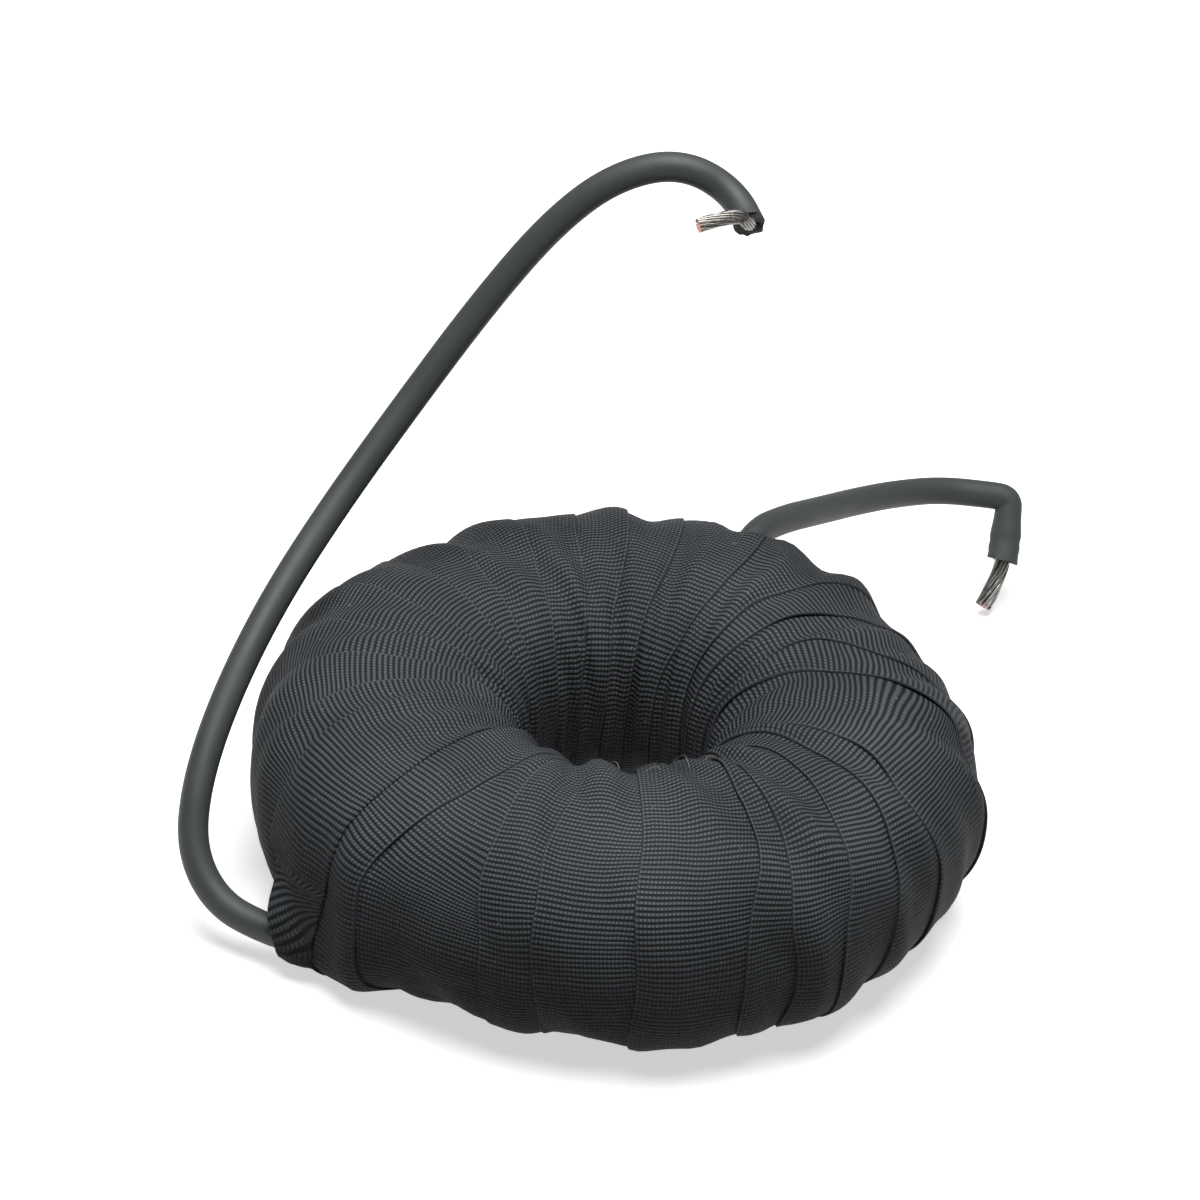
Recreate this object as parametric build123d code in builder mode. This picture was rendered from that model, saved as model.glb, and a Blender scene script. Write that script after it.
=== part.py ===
from build123d import *
import os
from math import ceil, cos, floor, hypot, pi, radians, sin, tan

# Toroidal inductor: a wound powder core under overlapping turns of woven tape, with two wire leads.
# Millimetres. The ring lies flat on z = 0 with its axis along +Z, and its centre is the origin.

# Finished ring, measured over the tape
ring_outer_diameter = 85.0
ring_hole_diameter = 22.0
ring_height = 28.0
rest_flattening = 0.8
crown_flat = 3.6
side_flat = 3.2

# Woven tape: its turns overlap, and each turn's free edge stands one thickness proud
tape_step = 0.45
tape_step_in_hole = 0.3
tape_wall_outside = 2.2
tape_wall_in_hole = 3.2
tape_wall_faces = 2.1
turn_tuck_share = 0.12
widest_span = 17.0

# Free edge of each turn, wound by hand: its azimuth on the outside, on the crown and in the hole
turn_edges = [
    (8, 22, 26),
    (22, 36, 40),
    (41, 47, 50),
    (73, 62, 70),
    (84, 80, 86),
    (95, 92, 100),
    (106, 104, 115),
    (116, 118, 131),
    (127, 133, 145),
    (140, 146, 157),
    (154, 159, 170),
    (168, 172, 184),
    (183, 184, 190),
    (198, 195, 196),
    (208, 204, 203),
    (220, 224, 215),
    (231, 241, 250),
    (252, 249, 257),
    (261, 260, 267),
    (276, 277, 281),
    (293, 302, 312),
    (301, 307, 319),
    (310, 320, 326),
    (321, 331, 333),
    (333, 338, 342),
    (352, 369, 374),
]
# A turn lies over the one before it, except at these edges, where it goes under
reversed_edges = (15, 16)

# How far the wrapped outside swells or sinks, by azimuth, where the turns of wire under it lie unevenly
ring_swells = [
    (0, 0.2),
    (8, -0.7),
    (20, -0.9),
    (34, -1.4),
    (40, -0.9),
    (46, 0.5),
    (56, 0.2),
    (72, 0.0),
    (80, 0.4),
    (93, 0.4),
    (104, 0.0),
    (116, 0.0),
    (126, -0.7),
    (135, -1.1),
    (152, 0.1),
    (168, -0.6),
    (179, -0.4),
    (190, -0.6),
    (208, 0.2),
    (230, 0.2),
    (236, -0.6),
    (244, -1.5),
    (256, -0.5),
    (272, -1.6),
    (279, 0.1),
    (292, -0.3),
    (299, -0.9),
    (306, 0.1),
    (318, -0.5),
    (333, -0.7),
    (346, 0.1),
    (355, 0.4),
]
deepest_sink = -0.25
slackest_corner = 0.45

# Powder core
core_outer_diameter = 72.0
core_inner_diameter = 44.0
core_height = 13.0

# Winding: the envelope of its turns, with the two wire tails that run to the splices
winding_outer_edge = 8.5
winding_inner_edge = 7.0
winding_wire_diameter = 1.6
tail_reach = 1.6
tail_dip = 3.0

# Leads: jacketed stranded wire
lead_diameter = 3.5
lead_cover = 0.9
bundle_diameter = 1.9
bundle_stub = 2.0
bundle_bend_radius = 1.6
bend_share = 0.45

# Splices: sleeved solder joints, sunk in the winding under the tape
splice_diameter = 4.4
splice_length = 13.0
splice_jacket_depth = 4.5
splice_tail_depth = 3.5
splice_clearance = 0.05

# Long splice, just under the core near the outside of the winding, along the ring
long_splice_azimuth = 246.0
long_splice_inset = 6.4
long_splice_core_gap = 0.4
long_splice_dip = 3.1
long_lead_tuck = 7.0

# Short splice, just over the core, along a radius
short_splice_azimuth = 66.5
short_splice_radius = 24.0
short_splice_core_gap = 1.1
short_splice_dip = -10.8
short_lead_tuck = 5.4

# Cord routes, chosen by hand along the wires from where they come out from under the tape
long_lead_points = [
    (-30.2, -26.9, 4.5),
    (-37.2, -24.4, 4.2),
    (-43.2, -21.9, 5.4),
    (-46.8, -18.2, 9.8),
    (-46.9, -13.2, 15.8),
    (-44.9, -5.4, 22.2),
    (-41.0, 5.0, 29.0),
    (-35.2, 16.4, 36.0),
    (-28.0, 24.2, 45.8),
    (-20.6, 28.8, 57.0),
    (-13.4, 30.8, 67.4),
    (-6.6, 30.8, 74.4),
    (1.0, 31.2, 76.9),
    (7.8, 30.6, 73.6),
    (9.2, 26.5, 72.3),
]
short_lead_points = [
    (14.2, 34.4, 26.5),
    (17.8, 40.8, 24.8),
    (22.2, 48.2, 21.9),
    (27.0, 56.0, 19.0),
    (32.2, 63.2, 16.3),
    (38.2, 68.8, 14.2),
    (47.6, 70.4, 13.0),
    (47.3, 65.7, 6.4),
]
long_strand_tip = (2.9, 23.2, 72.9)
short_strand_tip = (45.1, 61.7, 1.2)
long_points_covered = 4
short_points_covered = 3

# Sizes that follow from those above
ring_outer_radius = ring_outer_diameter / 2
ring_hole_radius = ring_hole_diameter / 2
section_middle = (ring_outer_radius + ring_hole_radius) / 2
section_centre_height = (ring_height - rest_flattening) / 2
section_half_height = (ring_height + rest_flattening) / 2
tape_turns = len(turn_edges)
winding_outer_radius = ring_outer_radius - tape_wall_outside
winding_inner_radius = ring_hole_radius + tape_wall_in_hole
winding_bottom = tape_wall_faces
winding_top = ring_height - tape_wall_faces
core_bottom = (winding_bottom + winding_top - core_height) / 2
lead_radius = lead_diameter / 2
jacket_start = splice_length / 2 - splice_jacket_depth
tail_start = splice_length / 2 - splice_tail_depth

os.makedirs("parts", exist_ok=True)


def route_radii(points):
    """Largest tangent arcs that the runs of a route allow, one for each inner corner."""
    corners = [Vector(point) for point in points]
    radii = []
    for before, corner, after in zip(corners, corners[1:], corners[2:]):
        run_in = corner - before
        run_out = after - corner
        half_turn = radians(run_in.get_angle(run_out)) / 2
        radii.append(bend_share * min(run_in.length, run_out.length) / tan(half_turn))
    return radii


def splice_plane(azimuth, radius, height, heading, dip):
    """Plane at a splice's middle, with its normal along the wire towards the way out."""
    place = Vector(radius * cos(radians(azimuth)), radius * sin(radians(azimuth)), height)
    level = Vector(cos(radians(heading)), sin(radians(heading)), 0)
    along = level * cos(radians(dip)) - Vector(0, 0, sin(radians(dip)))
    return Plane(origin=place, z_dir=along)


def along_axis(plane, distance):
    """Point on a plane's normal, at a distance from its origin."""
    return plane.origin + plane.z_dir * distance


def tucked_points(place, tuck):
    """First two points of a lead: its end in the splice, and a point on its way out under the tape."""
    return [along_axis(place, jacket_start), along_axis(place, jacket_start + tuck)]


def end_plane(points):
    """Plane at the end of a route, square to its last run."""
    last_run = Vector(points[-1]) - Vector(points[-2])
    return Plane(origin=points[-1], z_dir=last_run)


long_splice_place = splice_plane(
    long_splice_azimuth,
    winding_outer_radius - long_splice_inset,
    core_bottom - splice_diameter / 2 - long_splice_core_gap,
    long_splice_azimuth - 90,
    long_splice_dip,
)
short_splice_place = splice_plane(
    short_splice_azimuth,
    short_splice_radius,
    core_bottom + core_height + splice_diameter / 2 + short_splice_core_gap,
    short_splice_azimuth,
    short_splice_dip,
)
long_route = tucked_points(long_splice_place, long_lead_tuck) + long_lead_points
short_route = tucked_points(short_splice_place, short_lead_tuck) + short_lead_points

# Core: ring of pressed iron powder
with BuildPart() as core:
    with BuildSketch(Plane.XY.offset(core_bottom)):
        Circle(core_outer_diameter / 2)
        Circle(core_inner_diameter / 2, mode=Mode.SUBTRACT)
    extrude(amount=core_height)
core.part.label = "core"
export_step(core.part, "parts/core.step")


def splice(place):
    """Sleeve with the jacket's end in one bore, the winding's tail in the other and solder between."""
    with BuildPart() as sleeve:
        with BuildSketch(place):
            Circle(splice_diameter / 2)
        extrude(amount=splice_length / 2, both=True)
        with BuildSketch(place.offset(jacket_start)):
            Circle(lead_radius + splice_clearance)
        extrude(amount=splice_jacket_depth, mode=Mode.SUBTRACT)
        with BuildSketch(place.offset(-tail_start)):
            Circle(winding_wire_diameter / 2 + splice_clearance)
        extrude(amount=-splice_tail_depth, mode=Mode.SUBTRACT)
    return sleeve


def splice_pocket(place):
    """Room for a splice in the winding and the tape, with its clearance."""
    with BuildPart() as pocket:
        with BuildSketch(place):
            Circle(splice_diameter / 2 + splice_clearance)
        extrude(amount=splice_length / 2 + splice_clearance, both=True)
    return pocket


long_splice = splice(long_splice_place)
long_splice.part.label = "long_splice"
export_step(long_splice.part, "parts/long_splice.step")

long_pocket = splice_pocket(long_splice_place)
short_pocket = splice_pocket(short_splice_place)

short_splice = splice(short_splice_place)
short_splice.part.label = "short_splice"
export_step(short_splice.part, "parts/short_splice.step")


def lead(route):
    """Plain round jacket along a route of straight runs and tangent arcs."""
    radii = route_radii(route)
    print("lead radii", [round(radius, 1) for radius in radii])
    with BuildPart() as wire:
        with BuildLine() as path:
            FilletPolyline(*route, radius=radii)
        with BuildSketch(Plane(origin=path.line @ 0, z_dir=path.line % 0)):
            Circle(lead_radius)
        sweep(path=path.line)
    length = sum(edge.length for edge in path.edges())
    fill = wire.part.volume / (pi * lead_radius**2 * length)
    print("lead length", round(length, 1), "volume over section times length", round(fill, 4))
    return wire


long_lead = lead(long_route)
long_lead.part.label = "long_lead"
export_step(long_lead.part, "parts/long_lead.step")

short_lead = lead(short_route)
short_lead.part.label = "short_lead"
export_step(short_lead.part, "parts/short_lead.step")


def strands(route, tip):
    """Bare strand bundle, twisted tight into one round rod, bent just outside the jacket's end."""
    outlet = end_plane(route)
    with BuildPart() as bundle:
        with BuildLine() as path:
            FilletPolyline(route[-1], along_axis(outlet, bundle_stub), tip, radius=bundle_bend_radius)
        with BuildSketch(outlet):
            Circle(bundle_diameter / 2)
        sweep(path=path.line)
    return bundle


long_lead_strands = strands(long_route, long_strand_tip)
long_lead_strands.part.label = "long_lead_strands"
export_step(long_lead_strands.part, "parts/long_lead_strands.step")

short_lead_strands = strands(short_route, short_strand_tip)
short_lead_strands.part.label = "short_lead_strands"
export_step(short_lead_strands.part, "parts/short_lead_strands.step")


def tail_route(place, dive):
    """Wire tail from inside a splice, out along its axis and then away into the winding."""
    corner = along_axis(place, -splice_length / 2 - tail_reach)
    return [along_axis(place, -tail_start), corner, corner + dive * tail_dip]


# Winding: envelope of the copper turns, hollow for the core, with pockets for the splices and leads
with BuildPart() as winding:
    with BuildSketch(Plane.XZ):
        with BuildLine():
            Polyline(
                (winding_inner_radius + winding_inner_edge, winding_bottom),
                (winding_outer_radius - winding_outer_edge, winding_bottom),
                (winding_outer_radius, winding_bottom + winding_outer_edge),
                (winding_outer_radius, winding_top - winding_outer_edge),
                (winding_outer_radius - winding_outer_edge, winding_top),
                (winding_inner_radius + winding_inner_edge, winding_top),
                (winding_inner_radius, winding_top - winding_inner_edge),
                (winding_inner_radius, winding_bottom + winding_inner_edge),
                close=True,
            )
        make_face()
    revolve(axis=Axis.Z)
    for inner in (core, long_pocket, short_pocket, long_lead, short_lead):
        add(inner.part, mode=Mode.SUBTRACT)
    towards_axis = -Vector(cos(radians(long_splice_azimuth)), sin(radians(long_splice_azimuth)), 0)
    downwards = -Vector(0, 0, 1)
    for place, dive in ((long_splice_place, towards_axis), (short_splice_place, downwards)):
        points = tail_route(place, dive)
        with BuildLine() as tail_path:
            FilletPolyline(*points, radius=route_radii(points))
        with BuildSketch(Plane(origin=tail_path.line @ 0, z_dir=tail_path.line % 0)):
            Circle(winding_wire_diameter / 2)
        sweep(path=tail_path.line)
winding.part.label = "winding"
export_step(winding.part, "parts/winding.step")


def edge_at(place):
    """Azimuths of a tape edge on the outside, on the crown and in the hole, also part way between two edges."""
    azimuths = []
    for column in range(3):
        ends = []
        for edge in (floor(place), floor(place) + 1):
            ends.append(turn_edges[edge % tape_turns][column] + 360 * (edge // tape_turns))
        azimuths.append(ends[0] + (ends[1] - ends[0]) * (place - floor(place)))
    return azimuths


def swell_at(azimuth):
    """Swell of the wrapped outside at an azimuth, in line between the two given ones beside it."""
    first_azimuth, first_swell = ring_swells[0]
    rows = ring_swells + [(first_azimuth + 360, first_swell)]
    wanted = (azimuth - first_azimuth) % 360 + first_azimuth
    for (start, swell), (end, following) in zip(rows, rows[1:]):
        if wanted <= end:
            return swell + (following - swell) * (wanted - start) / (end - start)
    return first_swell


def level_place(radius, azimuth):
    """Point at a radius and an azimuth, level with the middle of the section."""
    return Vector(radius * cos(radians(azimuth)), radius * sin(radians(azimuth)), section_centre_height)


def turn_section(place, swell, sunk):
    """Outline of the wrapped ring at a tape edge, sunk by up to one tape step where another turn covers it."""
    outside, crown, hole = edge_at(place)
    outer_place = level_place(ring_outer_radius, outside)
    hole_place = level_place(ring_hole_radius, hole)
    middle = (outer_place + hole_place) / 2
    half_width = (outer_place - hole_place).length / 2
    outwards = (outer_place - hole_place).normalized()
    forwards = Vector(0, 0, 1).cross(outwards)
    lean = (level_place(section_middle, crown) - middle).dot(forwards)
    upright = Vector(0, 0, section_half_height) + forwards * lean
    proud = max(swell, deepest_sink) - tape_step * sunk
    slack = max(1 + min(swell, 0), slackest_corner)
    top_flat = crown_flat * slack / 2
    outer_flat = side_flat * slack / 2
    hole_round = half_width - top_flat - tape_step_in_hole * sunk
    outer_round = half_width - top_flat + proud
    under_round = hypot(section_half_height, lean) - outer_flat - tape_step * sunk
    crown_round = hypot(section_half_height, lean) - outer_flat + proud
    corners = (
        (top_flat, outer_flat, outer_round, crown_round, 0),
        (-top_flat, outer_flat, hole_round, crown_round, 90),
        (-top_flat, -outer_flat, hole_round, under_round, 180),
        (top_flat, -outer_flat, outer_round, under_round, 270),
    )
    with BuildSketch(Plane(origin=middle, x_dir=outwards, z_dir=outwards.cross(upright))) as outline:
        with BuildLine():
            arcs = []
            for across, up, width_round, height_round, start in corners:
                arcs.append(EllipticalCenterArc((across, up), width_round, height_round, start))
            for arc, following in zip(arcs, arcs[1:] + arcs[:1]):
                Line(arc @ 1, following @ 0)
        make_face()
    return outline.sketch


def turn_sections(turn):
    """Sections of one turn of tape, each end either free and proud, or tucked a step down under its neighbour."""
    start_sunk = 1 if turn in reversed_edges else 0
    end_sunk = 0 if (turn + 1) % tape_turns in reversed_edges else 1
    start = turn - turn_tuck_share * start_sunk
    end = turn + 1 + turn_tuck_share * end_sunk
    widths = [after - before for before, after in zip(edge_at(start), edge_at(end))]
    spans = ceil(max(widths[0], widths[2]) / widest_span)
    sections = []
    for number in range(spans + 1):
        share = number / spans
        place = start + (end - start) * share
        swell = swell_at(edge_at(place)[0])
        if number in (0, spans):
            swell = min(swell, swell_at(edge_at(round(place))[0]))
        sections.append(turn_section(place, swell, start_sunk + (end_sunk - start_sunk) * share))
    return sections


# Tape: overlapping turns, each a loft from edge to edge
with BuildPart() as tape_wrap:
    for turn in range(tape_turns):
        loft(sections=turn_sections(turn), ruled=True)
    for covered in (long_route[:long_points_covered], short_route[:short_points_covered]):
        with BuildLine() as cover_path:
            FilletPolyline(*covered, radius=route_radii(covered))
        with BuildSketch(Plane(origin=cover_path.line @ 0, z_dir=cover_path.line % 0)):
            Circle(lead_radius + lead_cover)
        sweep(path=cover_path.line)
    split(bisect_by=Plane.XY, keep=Keep.TOP)
    for inner in (core, winding, long_pocket, short_pocket, long_lead, short_lead):
        add(inner.part, mode=Mode.SUBTRACT)
tape_wrap.part.label = "tape_wrap"
export_step(tape_wrap.part, "parts/tape_wrap.step")
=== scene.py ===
import math
import random

import bpy
import numpy as np
from mathutils import Matrix, Quaternion, Vector


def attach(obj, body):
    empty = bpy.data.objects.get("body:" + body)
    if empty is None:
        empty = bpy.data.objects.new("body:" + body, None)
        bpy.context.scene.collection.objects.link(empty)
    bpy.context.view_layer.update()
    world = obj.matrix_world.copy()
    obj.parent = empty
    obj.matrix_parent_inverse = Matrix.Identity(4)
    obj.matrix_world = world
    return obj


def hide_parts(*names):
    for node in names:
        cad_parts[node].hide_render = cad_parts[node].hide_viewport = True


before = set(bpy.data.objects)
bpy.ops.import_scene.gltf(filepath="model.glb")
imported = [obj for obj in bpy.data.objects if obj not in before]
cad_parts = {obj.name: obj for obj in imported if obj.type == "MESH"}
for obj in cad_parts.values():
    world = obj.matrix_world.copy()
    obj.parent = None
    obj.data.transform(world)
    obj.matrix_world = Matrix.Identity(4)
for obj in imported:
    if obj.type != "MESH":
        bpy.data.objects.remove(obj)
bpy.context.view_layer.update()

# Looks of a toroidal inductor: a ring wound with black woven tape, and two jacketed wire leads.
# Lengths are written in millimetres and turned to metres with MM, in the same frame as the solids.
MM = 0.001
chance = random.Random(7)

# Camera, fitted to the photograph: its place in degrees and millimetres, and the ring's place in the picture
FRAME_PX = 1200
SENSOR = 36.0
LENS = 131.94
CAMERA_ELEVATION = 35.0
CAMERA_ROLL = 5.58
CAMERA_DISTANCE = 510.0
RING_CENTRE = Vector((0, 0, 13.96))
RING_PX = (614.6, 767.2)

# Routes of the leads, with the same points as their solids, and of the bare strands at their ends
LEAD_RADIUS = 1.75
LONG_LEAD_POINTS = [
    (-15.61, -30.16, 4.79),
    (-22.0, -27.31, 4.41),
    (-30.2, -26.9, 4.5),
    (-37.2, -24.4, 4.2),
    (-43.2, -21.9, 5.4),
    (-46.8, -18.2, 9.8),
    (-46.9, -13.2, 15.8),
    (-44.9, -5.4, 22.2),
    (-41.0, 5.0, 29.0),
    (-35.2, 16.4, 36.0),
    (-28.0, 24.2, 45.8),
    (-20.6, 28.8, 57.0),
    (-13.4, 30.8, 67.4),
    (-6.6, 30.8, 74.4),
    (1.0, 31.2, 76.9),
    (7.8, 30.6, 73.6),
    (9.2, 26.5, 72.3),
]
SHORT_LEAD_POINTS = [
    (10.35, 23.81, 24.18),
    (12.47, 28.68, 25.19),
    (14.2, 34.4, 26.5),
    (17.8, 40.8, 24.8),
    (22.2, 48.2, 21.9),
    (27.0, 56.0, 19.0),
    (32.2, 63.2, 16.3),
    (38.2, 68.8, 14.2),
    (44.6, 70.1, 13.4),
    (47.4, 70.4, 13.0),
    (47.5, 69.0, 11.0),
    (47.3, 65.7, 6.4),
]
LONG_EXIT = LONG_LEAD_POINTS[3]
SHORT_EXIT = SHORT_LEAD_POINTS[2]
LONG_STRAND_POINTS = [(9.2, 26.5, 72.3), (9.1, 25.9, 72.6), (7.8, 25.5, 74.0), (2.9, 23.2, 72.9)]
SHORT_STRAND_POINTS = [(47.3, 65.7, 6.4), (47.23, 64.54, 4.77), (45.1, 61.7, 1.2)]

# Wrapped ring: its section is a rounded oval, and the tape is wound round and round it
SECTION_MIDDLE = 26.75
SECTION_HALF_WIDTH = 15.75
SECTION_CENTRE_HEIGHT = 13.6
SECTION_HALF_HEIGHT = 14.4
SECTION_SQUARENESS = 2.3
TAPE_THICKNESS = 0.28
TAPE_THICKNESS_IN_HOLE = 0.2

# Free edge of each turn: its azimuth in degrees on the outside, on the crown and in the hole
TURN_EDGES = [
    (8, 22, 26),
    (22, 36, 40),
    (41, 47, 50),
    (73, 62, 70),
    (84, 80, 86),
    (95, 92, 100),
    (106, 104, 115),
    (116, 118, 131),
    (127, 133, 145),
    (140, 146, 157),
    (154, 159, 170),
    (168, 172, 184),
    (183, 184, 190),
    (198, 195, 196),
    (208, 204, 203),
    (224, 225, 215),
    (231, 241, 250),
    (252, 249, 257),
    (261, 260, 267),
    (276, 277, 281),
    (293, 302, 312),
    (301, 307, 319),
    (310, 320, 326),
    (321, 331, 333),
    (333, 338, 342),
    (352, 369, 374),
]
# A turn lies over the one before it, except at these edges, where it goes under
REVERSED_EDGES = (15, 16)
# First turns that lie over the leads. The edge of the long lead's turn is also pulled out along it
LONG_LEAD_TURN = 14
SHORT_LEAD_TURN = 2

# How far the wrapped outside swells or sinks, by azimuth, where the turns of wire under it lie unevenly
RING_SWELLS = [
    (0, 0.2),
    (8, -0.7),
    (20, -0.9),
    (34, -1.4),
    (40, -0.9),
    (46, 0.5),
    (56, 0.2),
    (72, 0.0),
    (80, 0.4),
    (93, 0.4),
    (104, 0.0),
    (116, 0.0),
    (126, -0.7),
    (135, -1.1),
    (152, 0.1),
    (168, -0.6),
    (179, -0.4),
    (190, -0.6),
    (208, 0.2),
    (230, 0.2),
    (236, -0.6),
    (244, -1.5),
    (256, -0.5),
    (272, -1.6),
    (279, 0.1),
    (292, -0.3),
    (299, -0.9),
    (306, 0.1),
    (318, -0.5),
    (333, -0.7),
    (346, 0.1),
    (355, 0.4),
]


def select_only(piece):
    """Deselects everything, then makes one piece the selected and active one."""
    bpy.ops.object.select_all(action="DESELECT")
    piece.select_set(True)
    bpy.context.view_layer.objects.active = piece


def add_object(name, data):
    """Puts new object data in the scene, at the origin."""
    piece = bpy.data.objects.new(name, data)
    bpy.context.scene.collection.objects.link(piece)
    return piece


# Camera
def photo_camera():
    """Camera where the photograph was taken from, rolled a little, with the ring low in the frame."""
    tilt = math.radians(CAMERA_ELEVATION)
    roll = math.radians(CAMERA_ROLL)
    right = Vector((1, 0, 0))
    up = Vector((0, math.sin(tilt), math.cos(tilt)))
    outwards = right.cross(up)
    view_right = right * math.cos(roll) + up * math.sin(roll)
    view_up = up * math.cos(roll) - right * math.sin(roll)
    aimed = Matrix((view_right, view_up, outwards)).transposed()
    focal_px = LENS / SENSOR * FRAME_PX
    ring_in_view = Vector((RING_PX[0] - FRAME_PX / 2, FRAME_PX / 2 - RING_PX[1], -focal_px))
    pan = ring_in_view.rotation_difference(Vector((0, 0, -1))).to_matrix()
    data = bpy.data.cameras.new("photo_camera")
    data.sensor_width = SENSOR
    data.lens = LENS
    data.clip_start = 0.01
    camera = add_object("photo_camera", data)
    place = (RING_CENTRE + outwards * CAMERA_DISTANCE) * MM
    camera.matrix_world = Matrix.Translation(place) @ (aimed @ pan).to_4x4()
    bpy.context.scene.camera = camera


photo_camera()


# Materials
def srgb(code):
    """Linear colour of an sRGB hex value."""
    parts = [int(code[i : i + 2], 16) / 255 for i in (1, 3, 5)]
    return [p / 12.92 if p <= 0.04045 else ((p + 0.055) / 1.055) ** 2.4 for p in parts] + [1.0]


def add_node(tree, kind, inputs=None, **settings):
    """Adds a node with its settings, and sets or links its inputs."""
    made = tree.nodes.new(kind)
    for name, value in settings.items():
        setattr(made, name, value)
    for socket, value in (inputs or {}).items():
        if isinstance(value, bpy.types.NodeSocket):
            tree.links.new(value, made.inputs[socket])
        else:
            made.inputs[socket].default_value = value
    return made


def start_material(name):
    """New node material: its tree and its shader."""
    material = bpy.data.materials.new(name)
    material.use_nodes = True
    tree = material.node_tree
    return material, tree, tree.nodes["Principled BSDF"]


def per_metre(size_mm):
    """Texture scale on coordinates in metres for a feature of this size."""
    return 1 / (size_mm * MM)


def noise(tree, place, size_mm, detail):
    """Noise on the object's own coordinates, with features of this size."""
    return add_node(
        tree,
        "ShaderNodeTexNoise",
        {"Vector": place.outputs["Object"], "Scale": per_metre(size_mm), "Detail": detail},
    )


def two_tones(tree, factor, low, high):
    """Colour between two sRGB hex values."""
    return add_node(
        tree,
        "ShaderNodeMix",
        {"Factor": factor, "A": srgb(low), "B": srgb(high)},
        data_type="RGBA",
    )


# Weave of the tape in millimetres, and how far a wave texture of scale one turns in one unit
RIB_PITCH = 0.62
WARP_PITCH = 0.45
WAVE_RADIANS = 20.0


def thread_wave(tree, threads, pitch, direction):
    """Even bands over the weave's coordinates, one for each thread."""
    return add_node(
        tree,
        "ShaderNodeTexWave",
        {"Vector": threads, "Scale": 2 * math.pi / (WAVE_RADIANS * pitch)},
        bands_direction=direction,
    )


def woven_tape_material():
    """Ribbed cotton tape, dyed black: thick weft ribs across it, bound by fine warp threads that show as
    dashes. The ribs are painted lighter as painted light and the grooves darker as painted shade, over
    the weave's bump; the selvedge is a plain cord, and lint clings."""
    material, tree, shader = start_material("black ribbed cotton tape")
    threads = add_node(tree, "ShaderNodeUVMap", uv_map="weave")
    place = add_node(tree, "ShaderNodeTexCoord")
    drift = noise(tree, place, 9.0, 1.5)
    pull = add_node(
        tree,
        "ShaderNodeVectorMath",
        {0: drift.outputs["Color"], 1: (0.5, 0.5, 0.5)},
        operation="SUBTRACT",
    )
    pulled = add_node(
        tree,
        "ShaderNodeVectorMath",
        {0: pull.outputs[0], 1: (1.0, 0.4, 0.0), 2: threads.outputs["UV"]},
        operation="MULTIPLY_ADD",
    )
    rib = thread_wave(tree, pulled.outputs[0], RIB_PITCH, "X")
    ridge = add_node(
        tree,
        "ShaderNodeMapRange",
        {"Value": rib.outputs["Fac"], "From Min": 0.1, "From Max": 0.8},
        interpolation_type="SMOOTHSTEP",
    )
    warp = thread_wave(tree, pulled.outputs[0], WARP_PITCH, "Y")
    dash = add_node(
        tree,
        "ShaderNodeMapRange",
        {"Value": warp.outputs["Fac"], "From Min": 0.1, "From Max": 0.75, "To Min": 0.42},
        interpolation_type="SMOOTHSTEP",
    )
    relief = add_node(
        tree,
        "ShaderNodeMath",
        {0: ridge.outputs[0], 1: dash.outputs[0]},
        operation="MULTIPLY",
    )
    across = add_node(tree, "ShaderNodeSeparateXYZ", {"Vector": threads.outputs["UV"]})
    selvedge = add_node(
        tree,
        "ShaderNodeMapRange",
        {"Value": across.outputs["Y"], "From Min": 0.1, "From Max": 0.4, "To Min": 0.34, "To Max": 0.0},
        interpolation_type="SMOOTHSTEP",
    )
    weave = add_node(
        tree,
        "ShaderNodeMath",
        {0: relief.outputs[0], 1: selvedge.outputs[0]},
        operation="MAXIMUM",
    )
    fuzz = noise(tree, place, 0.3, 3.0)
    rough_weave = add_node(
        tree,
        "ShaderNodeMath",
        {0: fuzz.outputs["Fac"], 1: 0.3, 2: weave.outputs[0]},
        operation="MULTIPLY_ADD",
    )
    bump = add_node(
        tree,
        "ShaderNodeBump",
        {"Height": rough_weave.outputs[0], "Strength": 0.85, "Distance": 0.14 * MM},
    )
    # Painted light and shade: the weave's relief also sets the colour, with ribs painted lighter as if lit
    # and grooves painted darker as if shaded
    cloth = two_tones(tree, weave.outputs[0], "#2a2d2d", "#676a6f")
    stain = noise(tree, place, 16.0, 5.0)
    shade = add_node(
        tree,
        "ShaderNodeMapRange",
        {"Value": stain.outputs["Fac"], "From Min": 0.3, "From Max": 0.7, "To Min": 0.75, "To Max": 1.15},
    )
    worn = add_node(
        tree,
        "ShaderNodeMix",
        {"Factor": 1.0, "A": cloth.outputs["Result"], "B": shade.outputs[0]},
        data_type="RGBA",
        blend_type="MULTIPLY",
    )
    lint = noise(tree, place, 0.7, 1.0)
    speck = add_node(
        tree,
        "ShaderNodeMapRange",
        {"Value": lint.outputs["Fac"], "From Min": 0.77, "From Max": 0.8, "To Max": 0.6},
    )
    dusty = add_node(
        tree,
        "ShaderNodeMix",
        {"Factor": speck.outputs[0], "A": worn.outputs["Result"], "B": srgb("#8a8880")},
        data_type="RGBA",
    )
    tree.links.new(dusty.outputs["Result"], shader.inputs["Base Color"])
    tree.links.new(bump.outputs["Normal"], shader.inputs["Normal"])
    shader.inputs["Roughness"].default_value = 0.6
    shader.inputs["Specular IOR Level"].default_value = 0.06
    return material


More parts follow.
